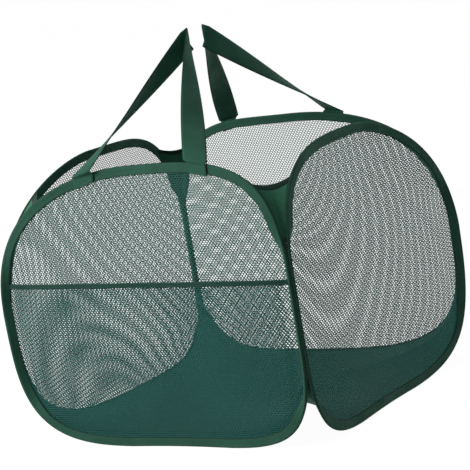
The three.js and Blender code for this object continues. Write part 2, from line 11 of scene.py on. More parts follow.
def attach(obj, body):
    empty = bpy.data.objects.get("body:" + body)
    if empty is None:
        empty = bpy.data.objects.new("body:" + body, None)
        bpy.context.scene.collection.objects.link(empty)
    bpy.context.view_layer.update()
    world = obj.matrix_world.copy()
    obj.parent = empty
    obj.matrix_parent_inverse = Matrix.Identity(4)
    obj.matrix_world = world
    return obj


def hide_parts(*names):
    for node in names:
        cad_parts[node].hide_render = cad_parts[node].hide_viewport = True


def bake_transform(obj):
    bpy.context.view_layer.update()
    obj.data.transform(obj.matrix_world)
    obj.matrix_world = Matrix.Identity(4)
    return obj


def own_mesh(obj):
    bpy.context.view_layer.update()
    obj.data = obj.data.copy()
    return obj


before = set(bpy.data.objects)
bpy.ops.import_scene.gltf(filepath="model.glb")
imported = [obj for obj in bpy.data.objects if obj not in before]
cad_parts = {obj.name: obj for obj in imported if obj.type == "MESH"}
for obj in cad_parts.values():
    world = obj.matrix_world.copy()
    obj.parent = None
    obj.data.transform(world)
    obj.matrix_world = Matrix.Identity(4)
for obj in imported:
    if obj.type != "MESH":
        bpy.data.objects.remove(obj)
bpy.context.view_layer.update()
random.seed(7)

MM = 0.001
HEIGHT = 360.0
MID = HEIGHT / 2
FRONT_SPAN = 448.0
SIDE_SPAN = 434.0
# Half the folded tape's thickness at its nose, here and in the CAD source
TAPE_HALF = 2.1
CAD_TAPE_HALF = 2.85
TAPE_WIDTH = 12.5
# A hoop's foot would end this far below the floor, where it is cut flat
FOOT_FLAT = 0.5
# How far outside its neighbours' half spans a panel's plane lies
PANEL_OFFSET = 3.45
# How a tape turns and shifts where it is sewn face to face with the next one
FULL_TURN = math.radians(49)
SEAM_SHIFT = 1.2
# The tape is turned all the way between two heights, and turns back over two runs below and above
NEAR_TURN = (70.0, 236.0, 34, 44)
SIDE_TURN = (92.0, 204.0, 76, 70)
# The run over which a net's pull towards the turned tapes dies away
PULL_RUN = 55.0


def smooth(x):
    """A smooth step from 0 to 1."""
    x = min(1.0, max(0.0, x))
    return x * x * (3 - 2 * x)


def quarter_turns(turns):
    """The rotation that brings something made for the front to another side."""
    return Matrix.Rotation(turns * math.pi / 2, 3, "Z")


def lengths(points):
    """Running distance along a line of points."""
    run = [0.0]
    for a, b in zip(points, points[1:]):
        run.append(run[-1] + (Vector(b) - Vector(a)).length)
    return run


def spaced(run, places):
    """For each place along a running distance, the stretch that holds it and its share of the stretch."""
    found, index = [], 0
    for place in places:
        while index < len(run) - 2 and run[index + 1] < place:
            index += 1
        part = (place - run[index]) / max(run[index + 1] - run[index], 1e-9)
        found.append((index, min(1.0, part)))
    return found


# Panels


class Panel:
    """One side of the hamper, with u along it, v up from its middle and w out of it."""

    def __init__(self, name, half, plane, top_lean, foot_lean, powers, near_sign, turns):
        self.name = name
        self.half = half
        self.plane = plane
        self.top_lean = top_lean
        self.foot_lean = foot_lean
        self.near_top, self.side_top, self.near_foot, self.side_foot = powers
        self.near_sign = near_sign
        self.turns = turns
        self.cos = round(math.cos(turns * math.pi / 2))
        self.sin = round(math.sin(turns * math.pi / 2))

    def power(self, along, up):
        near = along == self.near_sign
        if up > 0:
            return self.near_top if near else self.side_top
        return self.near_foot if near else self.side_foot

    def edge_at(self, angle):
        """A point of the hoop's outer edge and the way into the panel there."""
        c, s = math.cos(angle), math.sin(angle)
        along, up = (1 if c >= 0 else -1), (1 if s >= 0 else -1)
        p = self.power(along, up)
        tall = MID + FOOT_FLAT if s < 0 else MID
        across, rise = abs(c) ** (2 / p), abs(s) ** (2 / p)
        inward = Vector((-along * across ** (p - 1) / self.half, -up * rise ** (p - 1) / tall))
        inward.normalize()
        return Vector((along * across * self.half, max(up * rise * tall, -MID))), inward

    def reach(self, along, v):
        """Half the hoop's width at height v, on the side given by along."""
        p = self.power(along, -1 if v < 0 else 1)
        return self.half * max(0.0, 1 - (abs(v) / MID) ** p) ** (1 / p)

    def arc(self, u, up=1):
        """How far the hoop's upper arc, or its lower one, is from the middle's level."""
        p = self.power(1 if u >= 0 else -1, up)
        return MID * max(0.0, 1 - (abs(u) / self.half) ** p) ** (1 / p)

    def place(self, u, v, w=0.0):
        lean = self.top_lean if v > 0 else self.foot_lean
        inward = lean * math.cos(math.pi / 2 * u / self.half) ** 2 * (v / MID) ** 2
        x, y = u, -(self.plane - inward + w)
        return Vector((x * self.cos - y * self.sin, x * self.sin + y * self.cos, v + MID))

    def place_all(self, u, v, w):
        """The same for arrays."""
        lean = np.where(v > 0, self.top_lean, self.foot_lean)
        inward = lean * np.cos(np.pi / 2 * u / self.half) ** 2 * (v / MID) ** 2
        x, y = u, -(self.plane - inward + w)
        return np.stack([x * self.cos - y * self.sin, x * self.sin + y * self.cos, v + MID], axis=1)

    def seam_share(self, along, v):
        """How far the tape is turned out of the panel at height v, from 0 to 1 where it is sewn."""
        near = (self.turns % 2 == 0) == (along > 0)
        foot, top, foot_run, top_run = NEAR_TURN if near else SIDE_TURN
        height = v + MID
        return smooth(1 + min((height - foot) / foot_run, (top - height) / top_run))

    def turn_at(self, point, inward):
        """How far the tape's plane is turned towards the diagonal, as a share of the full turn."""
        return self.seam_share(1 if point.x >= 0 else -1, point.y) * smooth((abs(inward.x) - 0.5) / 0.4)

    def tape_place(self, point, inward, inset, w):
        """A point of the tape's section. Along the seams two tapes lie face to face, so the section turns."""
        share = self.turn_at(point, inward)
        turn = FULL_TURN * share
        across = (inset - TAPE_HALF) * math.cos(turn) + w * math.sin(turn) - SEAM_SHIFT * share
        out = w * math.cos(turn) - (inset - TAPE_HALF) * math.sin(turn) - SEAM_SHIFT * share
        flat = point + inward * (TAPE_HALF + across)
        return self.place(flat.x, flat.y, out)

    def side_edge(self, along, v):
        """The hoop's edge point at height v on one side, and the way into the panel there."""
        p = self.power(along, -1 if v < 0 else 1)
        reach = self.reach(along, v)
        inward = Vector((-along * (reach / self.half) ** (p - 1) / self.half,
                         -math.copysign((abs(v) / MID) ** (p - 1), v) / MID))
        inward.normalize()
        return Vector((along * reach, v)), inward

    def net_base(self, u, v):
        """How far the net lies inside the panel's plane, because it starts from the turned tapes."""
        total = np.zeros_like(u)
        heights = np.linspace(-MID + 1, MID - 1, 181)
        for along in (-1, 1):
            edges = [self.side_edge(along, h) for h in heights]
            reach = np.interp(v, heights, [abs(e[0].x) for e in edges])
            share = np.interp(v, heights, [self.turn_at(*e) for e in edges])
            gap = reach - along * u
            turn = FULL_TURN * share
            knee = TAPE_HALF + (TAPE_WIDTH - TAPE_HALF) * np.cos(turn)
            deep = (TAPE_WIDTH - TAPE_HALF) * np.sin(turn)
            in_slot = -np.clip(gap - TAPE_HALF, 0, None) * np.tan(turn)
            beyond = -deep * np.exp(-np.clip(gap - knee, 0, None) / PULL_RUN)
            shift = SEAM_SHIFT * share * np.exp(-np.abs(gap - knee) / PULL_RUN)
            total += np.where(gap < knee, in_slot, beyond) - shift
        return total

    def hoop(self, count):
        """Points at an even spacing along the hoop: [(edge point, inward, distance along)]."""
        samples = 7200
        fine = [self.edge_at(i / samples * 2 * math.pi) for i in range(samples + 1)]
        run = lengths([point for point, _ in fine])
        places = [run[-1] * (step + 0.5) / count for step in range(count)]
        found = []
        for place, (k, part) in zip(places, spaced(run, places)):
            point, inward = fine[k][0].lerp(fine[k + 1][0], part), fine[k][1].lerp(fine[k + 1][1], part)
            found.append((point, inward.normalized(), place))
        return found, run[-1]


# How square each corner of a hoop is: near top, side top, near foot, side foot
FRONT_POWERS = (4, 2.2, 5, 3.45)
SIDE_POWERS = (4, 1.78, 5.4, 3.0)
FRONT_WALL = (FRONT_SPAN / 2, SIDE_SPAN / 2 + PANEL_OFFSET, 27.0, 13.5, FRONT_POWERS, 1)
SIDE_WALL = (SIDE_SPAN / 2, FRONT_SPAN / 2 + PANEL_OFFSET, 18.0, 11.0, SIDE_POWERS, -1)
FRONT = Panel("front", *FRONT_WALL, 0)
RIGHT = Panel("right", *SIDE_WALL, 1)
BACK = Panel("back", *FRONT_WALL, 2)
LEFT = Panel("left", *SIDE_WALL, 3)
PANELS = (FRONT, RIGHT, BACK, LEFT)


# Meshes


def make_object(name, skin, material, body=None):
    """A mesh object from a skin: points, faces and UVs, one for each face corner, all in millimetres."""
    points, faces, uvs = skin
    mesh = bpy.data.meshes.new(name)
    points = np.asarray(points, dtype=np.float64) * MM
    mesh.from_pydata(points.tolist(), [], faces)
    if uvs:
        layer = mesh.uv_layers.new(name="UVMap")
        layer.data.foreach_set("uv", np.asarray(uvs, dtype=np.float32).ravel())
    mesh.validate()
    mesh.polygons.foreach_set("use_smooth", [True] * len(mesh.polygons))
    mesh.materials.append(material)
    obj = bpy.data.objects.new(name, mesh)
    bpy.context.scene.collection.objects.link(obj)
    if body:
        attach(obj, body)
    return obj


def sweep(rings, closed_round, closed_along, across_uv, along_uv, caps=False):
    """Joins rings of points into a skin."""
    rows, columns = len(rings), len(rings[0])
    points = [p for ring in rings for p in ring]
    faces, uvs = [], []
    for i in range(rows if closed_along else rows - 1):
        n = (i + 1) % rows
        for j in range(columns if closed_round else columns - 1):
            m = (j + 1) % columns
            faces.append((i * columns + j, i * columns + m, n * columns + m, n * columns + j))
            a, b = across_uv[j], across_uv[j + 1]
            c, d = along_uv[i], along_uv[i + 1]
            uvs += [(c, a), (c, b), (d, b), (d, a)]
    if caps:
        faces.append(tuple(range(columns - 1, -1, -1)))
        uvs += [(along_uv[0], across_uv[j]) for j in range(columns - 1, -1, -1)]
        last = (rows - 1) * columns
        faces.append(tuple(last + j for j in range(columns)))
        uvs += [(along_uv[rows - 1], across_uv[j]) for j in range(columns)]
    return points, faces, uvs


def closed_sheet(upper, lower, cells, uv):
    """The skin of a cloth: cells over its upper points, the same below, and a rim round its edge."""
    below = len(upper)
    faces, uvs, rim = [], [], {}
    for cell in cells:
        flat = [uv[k] for k in cell]
        faces += [cell, tuple(below + k for k in cell[::-1])]
        uvs += flat + flat[::-1]
        for a, b in zip(cell, cell[1:] + cell[:1]):
            if rim.pop((b, a), None) is None:
                rim[(a, b)] = True
    for a, b in rim:
        faces.append((a, below + a, below + b, b))
        uvs += [uv[a], uv[a], uv[b], uv[b]]
    return upper + lower, faces, uvs


# Materials

# Length of one wave of a plain weave, in millimetres
WEAVE = 0.42


class Nodes:
    """A small helper for building the node tree of a material or a world."""

    def __init__(self, owner, output="ShaderNodeOutputMaterial"):
        self.owner = owner
        owner.use_nodes = True
        self.tree = owner.node_tree
        self.tree.nodes.clear()
        self.output = self.tree.nodes.new(output)

    def add(self, kind, inputs=None, **settings):
        node = self.tree.nodes.new(kind)
        for key, value in settings.items():
            setattr(node, key, value)
        for key, value in (inputs or {}).items():
            socket = node.inputs[key]
            if isinstance(value, bpy.types.NodeSocket):
                self.tree.links.new(value, socket)
            else:
                socket.default_value = value
        return node

    def math(self, operation, a, b=0.0, c=0.0, clamp=False):
        node = self.add("ShaderNodeMath", {0: a, 1: b, 2: c}, operation=operation)
        node.use_clamp = clamp
        return node.outputs[0]

    def mix(self, factor, a, b):
        return self.add("ShaderNodeMix", {0: factor, 6: a, 7: b}, data_type="RGBA").outputs[2]

    def ramp(self, value, low, high, to_low=0.0, to_high=1.0):
        inputs = {"Value": value, "From Min": low, "From Max": high, "To Min": to_low, "To Max": to_high}
        return self.add("ShaderNodeMapRange", inputs, interpolation_type="SMOOTHSTEP").outputs["Result"]

    def noise(self, scale, detail, roughness=0.5):
        """Noise that is fixed in space, with its scale for each metre."""
        position = self.add("ShaderNodeNewGeometry").outputs["Position"]
        inputs = {"Vector": position, "Scale": scale, "Detail": detail, "Roughness": roughness}
        return self.add("ShaderNodeTexNoise", inputs).outputs[0]

    def wave(self, value, length):
        return self.math("SINE", self.math("MULTIPLY", value, 2 * math.pi / length))

    def seen(self):
        """One on the rays by which the camera sees a thing, directly or through another."""
        paths = self.add("ShaderNodeLightPath").outputs
        seen = self.math("MAXIMUM", paths["Is Camera Ray"], paths["Is Glossy Ray"])
        return self.math("MAXIMUM", seen, paths["Is Transmission Ray"])

    def finish(self, shader):
        self.tree.links.new(shader.outputs[0], self.output.inputs[0])
        return self.owner

    def surface(self, colour, rough, height, strength, depth, more):
        """Ends the tree with a principled surface, with a bump of that depth in metres."""
        bump = self.add("ShaderNodeBump", {"Strength": strength, "Distance": depth, "Height": height})
        inputs = {"Base Color": colour, "Roughness": rough, "Normal": bump.outputs[0], **more}
        return self.finish(self.add("ShaderNodeBsdfPrincipled", inputs))


def srgb(r, g, b):
    """A linear colour from the eight-bit one seen on screen."""

    def one(value):
        value /= 255
        return value / 12.92 if value <= 0.04045 else ((value + 0.055) / 1.055) ** 2.4

    return (one(r), one(g), one(b), 1.0)


def shade(colour, share):
    return tuple(c * share for c in colour[:3]) + (1.0,)


def sheen(specular, weight):
    return {"Specular IOR Level": specular, "Sheen Weight": weight, "Sheen Roughness": 0.4}


def new_material(name):
    return Nodes(bpy.data.materials.new(name))


def tape_material(name, base, dark, edges, rib=0.55, edge_width=0.9, fold=0.0):
    """Woven polyester tape in UV millimetres: fine cross ribs, slight wear, and dark bands along given lines
    and its fold, painted shade on the edge tape and the elastic.
    """
    n = new_material(name)
    uv = n.add("ShaderNodeUVMap").outputs[0]
    along, across = n.add("ShaderNodeSeparateXYZ", {0: uv}).outputs[:2]
    warp = n.math("MULTIPLY_ADD", n.wave(across, WEAVE), 0.3, 0.7)
    weave = n.math("MULTIPLY", n.wave(along, rib), warp)
    broad = n.noise(22.0, 3.0, 0.55)
    fine = n.noise(900.0, 2.0, 0.6)
    colour = n.mix(n.ramp(broad, 0.3, 0.7), base, shade(base, 0.84))
    colour = n.mix(n.math("MULTIPLY_ADD", weave, 0.10, 0.12, clamp=True), colour, dark)
    colour = n.mix(n.ramp(fine, 0.35, 0.75, 0.0, 0.08), colour, (0.10, 0.20, 0.15, 1.0))
    # Dark bands along the given lines. On the edge tape they are painted shade in the stitch groove along its
    # inner edges, on the elastic painted shade in its middle groove, and on the webbing darker selvedges.
    edge = 0.0
    for place in edges:
        gap = n.math("ABSOLUTE", n.math("SUBTRACT", across, place))
        edge = n.math("MAXIMUM", edge, n.ramp(gap, 0.0, edge_width, 1.0, 0.0))
    colour = n.mix(n.math("MULTIPLY", edge, 0.8), colour, dark)
    # Darker towards the fold: painted shade, a dark line along the tape's nose and where two noses meet in a
    # corner.
    if fold:
        colour = n.mix(n.ramp(n.math("ABSOLUTE", across), 0.3, 2.4, fold, 0.0), colour, dark)
    rough = n.ramp(broad, 0.2, 0.8, 0.68, 0.86)
    height = n.math("MULTIPLY_ADD", fine, 0.5, weave)
    return n.surface(colour, rough, height, 0.35, 0.00012, sheen(0.18, 0.04))


def cloth_material(name, base, dark):
    """Plain-woven polyester in UV millimetres, dyed a little unevenly, with a soft sheen."""
    n = new_material(name)
    uv = n.add("ShaderNodeUVMap").outputs[0]
    x, y = n.add("ShaderNodeSeparateXYZ", {0: uv}).outputs[:2]
    weave = n.math("MULTIPLY", n.wave(x, WEAVE), n.wave(y, WEAVE))
    slubs = n.noise(260.0, 3.0, 0.7)
    colour = n.mix(n.ramp(n.noise(9.0, 4.0, 0.6), 0.3, 0.72), base, shade(base, 0.86))
    colour = n.mix(n.math("MULTIPLY_ADD", weave, 0.04, 0.12, clamp=True), colour, dark)
    colour = n.mix(n.ramp(slubs, 0.4, 0.8, 0.0, 0.3), colour, dark)
    rough = n.ramp(slubs, 0.2, 0.8, 0.62, 0.8)
    height = n.math("MULTIPLY_ADD", slubs, 0.8, weave)
    return n.surface(colour, rough, height, 0.3, 0.0001, sheen(0.16, 0.03))


def net_material(name, base, light):
    """Knitted net strands: twisted yarn in light and dark flecks."""
    n = new_material(name)
    yarn = n.noise(1400.0, 2.0)
    colour = n.mix(n.ramp(yarn, 0.35, 0.68), base, light)
    colour = n.mix(n.ramp(n.noise(14.0, 2.0), 0.35, 0.7, 0.0, 0.25), colour, shade(base, 0.8))
    return n.surface(colour, n.ramp(yarn, 0.2, 0.8, 0.5, 0.72), yarn, 0.4, 0.00015, sheen(0.2, 0.05))


def thread_material(name, base, light):
    """Sewing thread: two twisted plies with a faint shine."""
    n = new_material(name)
    position = n.add("ShaderNodeNewGeometry").outputs["Position"]
    inputs = {"Vector": position, "Scale": 1100.0, "Distortion": 2.0, "Detail": 1.0, "Detail Scale": 2.0}
    plies = n.add("ShaderNodeTexWave", inputs, bands_direction="DIAGONAL").outputs[1]
    colour = n.mix(n.ramp(plies, 0.1, 0.9), base, light)
    rough = n.ramp(plies, 0.0, 1.0, 0.45, 0.65)
    return n.surface(colour, rough, plies, 0.5, 0.0001, {"Specular IOR Level": 0.45})


def steel_material(name):
    """Tempered spring steel: fine grain, straw and blue temper tints and small marks."""
    n = new_material(name)
    grain = n.noise(1600.0, 3.0, 0.7)
    tint = n.ramp(n.noise(18.0, 3.0, 0.6), 0.35, 0.65)
    colour = n.mix(tint, (0.42, 0.43, 0.46, 1), (0.5, 0.46, 0.38, 1))
    colour = n.mix(n.ramp(grain, 0.4, 0.75, 0.0, 0.35), colour, (0.2, 0.2, 0.22, 1))
    return n.surface(colour, n.ramp(grain, 0.2, 0.8, 0.25, 0.5), grain, 0.25, 0.00005, {"Metallic": 1.0})


TAPE_BASE = srgb(58, 111, 91)
# The dark of the tape's ribs, also used for the painted shade along its edges and fold.
TAPE_DARK = srgb(14, 38, 29)
TAPE_MATERIAL = tape_material("edge_tape", TAPE_BASE, TAPE_DARK, (13.5, -13.5), fold=0.7)
WEBBING_MATERIAL = tape_material("webbing", srgb(60, 118, 96), TAPE_DARK, (-15, 15), rib=0.9, edge_width=1.5)
CLOTH_MATERIAL = cloth_material("solid_cloth", srgb(48, 123, 111), srgb(22, 70, 63))
HEM_MATERIAL = cloth_material("gusset_hem", srgb(24, 54, 44), srgb(9, 26, 21))
GUSSET_MATERIAL = cloth_material("gusset_cloth", srgb(70, 134, 106), srgb(28, 70, 55))
NET_MATERIAL = net_material("mesh_cloth", srgb(44, 104, 94), srgb(78, 146, 132))
# A slightly darker copy of the panel net: painted shade where the pocket's net lies over the front net.
POCKET_NET_SHADED_MATERIAL = net_material("pocket_mesh_cloth", srgb(40, 102, 94), srgb(72, 142, 132))
# The dark band along the elastic's middle is painted shade in its stitched groove.
ELASTIC_MATERIAL = tape_material("elastic", srgb(44, 88, 76), srgb(16, 42, 34), (0,), rib=1.1, edge_width=0.7)
# The seam core is real, but its near black colour is painted shade of the groove between two tapes.
SEAM_SHADE_MATERIAL = cloth_material("rolled_seam", srgb(14, 32, 25), srgb(5, 14, 11))
THREAD_MATERIAL = thread_material("thread", srgb(24, 56, 43), srgb(46, 88, 70))
STEEL_MATERIAL = steel_material("spring_steel")


# Edge tape

HOOP_COUNT = 420
# Half the spring strip's thickness and width, at the two points of its broken edge
STRIP_EDGE = [(0.45, 0.9), (0.3, 1.1)]
SLEEVE_HALF = 13
SLEEVE_SIDES = 20
# Two rows of stitches on each face: name, distance from the nose, height on the tape
STITCH_ROWS = (("edge", 10.9, 1.42), ("strip", 5.6, 1.68))
# Length, gap and thickness of the stitches on the tapes, the pocket's hem and the handles' ends
TAPE_STITCH, HEM_STITCH, BOX_STITCH = (2.4, 0.8, 0.45), (2.2, 1.0, 0.5), (2.2, 0.6, 0.5)


def mirrored(upper):
    """A closed section from its upper half."""
    return upper + [(x, -y) for x, y in reversed(upper)]


def tape_profile():
    """Cross-section of the folded tape, as (inset, w): round the nose outside, and back inside."""
    outer = [(TAPE_WIDTH, 1.1), (TAPE_WIDTH - 0.5, 1.35), (9.5, 1.5), (6.8, 1.6), (5.2, 1.7), (3.6, 2.0)]
    nose = []
    for k in range(9):
        angle = math.pi / 2 * (1 - k / 4)
        nose.append((TAPE_HALF - TAPE_HALF * math.cos(angle), TAPE_HALF * math.sin(angle)))
    inner = [(TAPE_WIDTH, 0.45), (7.2, 0.8), (5.0, 1.1), (3.2, 1.65)]
    ring = outer + nose + [(i, -w) for i, w in reversed(outer)]
    inside_nose = [(1.1, -1.5), (0.5, 0.0), (1.1, 1.5)]
    ring += [(i, -w) for i, w in inner] + inside_nose
    ring += [(i, w) for i, w in reversed(inner)]
    return ring


def profile_runs(ring):
    """UV across the tape: zero at the fold, counted along the section."""
    run = [0.0]
    closed = ring + ring[:1]
    for a, b in zip(closed, closed[1:]):
        run.append(run[-1] + math.hypot(b[0] - a[0], b[1] - a[1]))
    # The fold is the middle of the nose's nine points, after the outer face's six
    fold = run[6 + 4]
    return [r - fold for r in run]


def make_binding(panel):
    """The folded edge tape round one panel, slightly puckered by its stitching."""
    steps, total = panel.hoop(HOOP_COUNT)
    waves = [(random.uniform(0.05, 0.13), random.randint(20, 90), random.uniform(0, 6.28)) for _ in range(5)]
    rings = []
    for point, inward, run in steps:
        phase = 2 * math.pi * run / total
        wobble = sum(a * math.sin(k * phase + p) for a, k, p in waves)
        ring = []
        for inset, w in tape_profile():
            drift = wobble * max(0.0, (inset - 5) / 7.5)
            # Only the outer skin of a face puffs up
            puff = math.copysign(0.5 * abs(drift), w) if abs(w) > 1.2 else 0.0
            ring.append(panel.tape_place(point, inward, inset + 0.35 * drift, w + puff))
        rings.append(ring)
    along = [step[2] for step in steps] + [steps[0][2] + total]
    skin = sweep(rings, True, True, profile_runs(tape_profile()), along)
    obj = make_object(f"{panel.name}_edge_tape", skin, TAPE_MATERIAL, panel.name)
    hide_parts(f"{panel.name}_binding")


def make_hoop(panel):
    """The flat spring strip inside the tape, its two ends met in a crimped sleeve at the foot."""
    steps, _ = panel.hoop(HOOP_COUNT)
    start = min(range(HOOP_COUNT), key=lambda i: abs(steps[i][0].x) if steps[i][0].y < 0 else 1e9)
    steps = steps[start:] + steps[:start]
    corners = mirrored(STRIP_EDGE + [(-a, b) for a, b in reversed(STRIP_EDGE)])
    rings = [[panel.tape_place(p, n, TAPE_HALF + a, b) for a, b in corners] for p, n, _ in steps]
    skin = sweep(rings, True, False, list(range(9)), [s[2] for s in steps], caps=True)
    hoop = make_object(f"{panel.name}_spring_strip", skin, STEEL_MATERIAL, panel.name)
    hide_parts(f"{panel.name}_hoop")
    # The sleeve goes round the strip, with two crimps pressed into it
    point, inward, _ = steps[0]
    rings = []
    for k in range(SLEEVE_SIDES):
        angle = 2 * math.pi * k / SLEEVE_SIDES
        ring = []
        for outside in (True, False):
            for i in range(2 * SLEEVE_HALF + 1):
                along = i - SLEEVE_HALF if outside else SLEEVE_HALF - i
                dent = 0.12 * math.exp(-(((abs(along) - 6) / 1.2) ** 2))
                deep, wide = (0.95 - dent, 1.6 - dent) if outside else (0.62, 1.3)
                flat = point + Vector((along, 0)) + inward * (TAPE_HALF + deep * math.cos(angle))
                ring.append(panel.place(flat.x, flat.y, wide * math.sin(angle)))
        rings.append(ring)
    skin = sweep(rings, True, True, list(range(len(rings[0]) + 1)), list(range(SLEEVE_SIDES + 1)))
    sleeve = make_object(f"{panel.name}_crimped_sleeve", skin, STEEL_MATERIAL, panel.name)
    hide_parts(f"{panel.name}_ferrule")


def stitch_row(name, path, normals, stitch, body, lift=0.0):
    """A row of lockstitches: short rounded bars that dip into the cloth at both ends."""
    length, gap, thickness = stitch
    run = lengths(path)
    marks, sides = 5, 5
    places, place = [], gap / 2
    while place + length < run[-1]:
        places += [place + length * k / (marks - 1) for k in range(marks)]
        place += length + gap
    rings = []
    for count, (index, part) in enumerate(spaced(run, places)):
        here, after = Vector(path[index]), Vector(path[index + 1])
        normal = Vector(normals[index]).lerp(Vector(normals[index + 1]), part).normalized()
        side = (after - here).normalized().cross(normal).normalized()
        # From 0 in the middle of a stitch to 1 at its ends
        end = abs(count % marks - 2) / 2
        centre = here.lerp(after, part) + normal * (lift + thickness * (0.25 - 0.9 * end**2))
        size = thickness / 2 * (0.7 if end == 1 else 1.0)
        ring = []
        for k in range(sides):
            angle = 2 * math.pi * k / sides
            ring.append(centre + normal * (size * math.sin(angle)) + side * (size * 1.15 * math.cos(angle)))
        rings.append(ring)
    points, faces = [], []
    for first in range(0, len(rings), marks):
        bar = sweep(rings[first : first + marks], True, False, [0] * (sides + 1), [0] * marks, caps=True)
        faces += [tuple(len(points) + k for k in face) for face in bar[1]]
        points += bar[0]
    obj = make_object(name, (points, faces, None), THREAD_MATERIAL, body)
    return obj


def stitch_path(places):
    """The path and normals of a row of stitches, from pairs of points on the cloth and above it."""
    return [here for here, _ in places], [(above - here).normalized() for here, above in places]


def tape_stitching(panel):
    steps, _ = panel.hoop(HOOP_COUNT)
    for label, inset, w in STITCH_ROWS:
        for face, sign in (("outer", 1), ("inner", -1)):
            places = []
            for point, inward, _ in steps + steps[:1]:
                places.append([panel.tape_place(point, inward, inset, sign * h) for h in (w, w + 1)])
            path, normals = stitch_path(places)
            stitch_row(f"{panel.name}_{label}_stitches_{face}", path, normals, TAPE_STITCH, panel.name)


# Nets

NET_CELL_WIDTH = 4.65
NET_ROW = 2.66
NET_UPRIGHT = 1.1
NET_STRAND = 1.02
SIDE_NET_STRAND = 1.17
# How far a panel's net and the pocket's reach into the tape
NET_HELD, POCKET_HELD = 3.5, 2.0


def net_lattice(panel, inside):
    """Vertices and strands of a hexagonal knit over a panel: (points uv, pairs), as arrays."""
    side = NET_ROW - NET_UPRIGHT / 2
    wide = int(panel.half * 1.02 / NET_CELL_WIDTH) + 2
    tall = int(MID * 1.02 / NET_ROW) + 2
    points, index, pairs = [], {}, []
    for r in range(-tall, tall + 1):
        for c in range(-wide, wide + 1):
            x = (c + (0.5 if r % 2 else 0.0)) * NET_CELL_WIDTH
            y = r * NET_ROW
            # Each cell owns the vertex above it and the one below it
            for k, dy in ((0, side), (1, -side)):
                if inside(x, y + dy):
                    index[(r, c, k)] = len(points)
                    points.append((x, y + dy))
    for (r, c, k), a in index.items():
        if k == 1:
            continue
        shift = 0 if r % 2 else -1
        # The top vertex of a cell joins the bottom vertices of the two cells above and of the one two rows up
        for key in ((r + 1, c + shift, 1), (r + 1, c + shift + 1, 1), (r + 2, c, 1)):
            if key in index:
                pairs.append((a, index[key]))
    return np.array(points), np.array(pairs)


def net_strands(uv, pairs, strand):
    """Flat strands as points and faces: a small triangle at each crossing and a strip along each strand."""
    neighbours = [[] for _ in range(len(uv))]
    for a, b in pairs:
        neighbours[a].append(b)
        neighbours[b].append(a)
    points, faces = [], []
    knot = strand / math.sqrt(3)
    third = 2 * math.pi / 3
    corner = {}
    for i, (x, y) in enumerate(uv):
        if not neighbours[i]:
            continue
        angles = [(math.atan2(uv[b][1] - y, uv[b][0] - x), b) for b in neighbours[i]]
        base = angles[0][0]
        ring = []
        for k in range(3):
            angle = base + math.pi / 3 + k * third
            ring.append(len(points))
            points.append((x + knot * math.cos(angle), y + knot * math.sin(angle)))
        faces.append(tuple(ring))
        for angle, b in angles:
            k = round((angle - base) / third) % 3
            corner[(i, b)] = (ring[(k + 2) % 3], ring[k])
    for a, b in pairs:
        faces.append(corner[(a, b)] + corner[(b, a)])
    return np.array(points), faces


def make_net(name, panel, inside, offset, material, body, node, with_pieces=()):
    """A honeycomb net of knitted strands, laid over a panel at the given offset from it."""
    strand = SIDE_NET_STRAND if panel in (RIGHT, LEFT) else NET_STRAND
    points, faces = net_strands(*net_lattice(panel, inside), strand)
    u, v = points[:, 0], points[:, 1]
    obj = make_object(name, (panel.place_all(u, v, offset(u, v)), faces, None), material, body)
    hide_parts(node)


def hoop_inside(panel, inset, top=None):
    """A test for being inside the hoop by at least inset, and below top."""
    steps, _ = panel.hoop(720)
    outline = []
    for p, n, _ in steps:
        turn = FULL_TURN * panel.turn_at(p, n)
        outline.append(tuple(p + n * (TAPE_HALF + (inset - TAPE_HALF) * math.cos(turn))))
    outline = np.array(outline) / (panel.half, MID)
    angles = np.arctan2(outline[:, 1], outline[:, 0])
    order = np.argsort(angles)
    angles, radii = angles[order], np.hypot(outline[:, 1], outline[:, 0])[order]

    def inside(x, y):
        if top is not None and y > top(x):
            return False
        across, up = x / panel.half, y / MID
        limit = np.interp(math.atan2(up, across), angles, radii, period=2 * math.pi)
        return math.hypot(up, across) < limit

    return inside


def make_panel_net(panel):
    inside = hoop_inside(panel, TAPE_WIDTH - NET_HELD)

    def offset(u, v):
        # The cloth is slack in places between its stitches, so it waves a little
        slack = 0.35 * np.sin(u / 31 + 1.3 * panel.turns) * np.sin(v / 27 + 0.7)
        return slack * np.cos(np.pi / 2 * u / panel.half) + panel.net_base(u, v)

    make_net(
        f"{panel.name}_net", panel, inside, offset, NET_MATERIAL, panel.name, f"{panel.name}_mesh",
    )


# Pocket

POCKET_TOP = 35.0
POCKET_FOOT = TAPE_WIDTH - MID
# The pocket leaves the front net within this run, from this height over it
POCKET_EASE = 16.0
POCKET_LIFT = 0.45
HEM_HALF_WIDTH = 3.1
HEM_THICK = 0.7
HEM_STEPS = 260


def pocket_drop(u):
    return 3 * (u / FRONT.half) ** 2 + 6 * u / FRONT.half


def pocket_offset(u, v):
    rise = np.clip((v - POCKET_FOOT) / (POCKET_TOP - POCKET_FOOT), 0, 1)
    return 2.4 + 7 * np.cos(np.pi / 2 * u / FRONT.half) ** 2 * np.sin(np.pi / 2 * rise)


def pocket_edge_ease(u, v):
    """Zero at the tape's inner edge and one a little further in."""
    reach = np.array([FRONT.reach(1 if a >= 0 else -1, b) for a, b in zip(u, v)])
    below = np.array([FRONT.arc(a, -1) for a in u])
    side, foot = reach - TAPE_WIDTH - np.abs(u), v + below - TAPE_WIDTH
    ease = np.clip(np.minimum(side, foot) / POCKET_EASE, 0, 1)
    return ease * ease * (3 - 2 * ease)


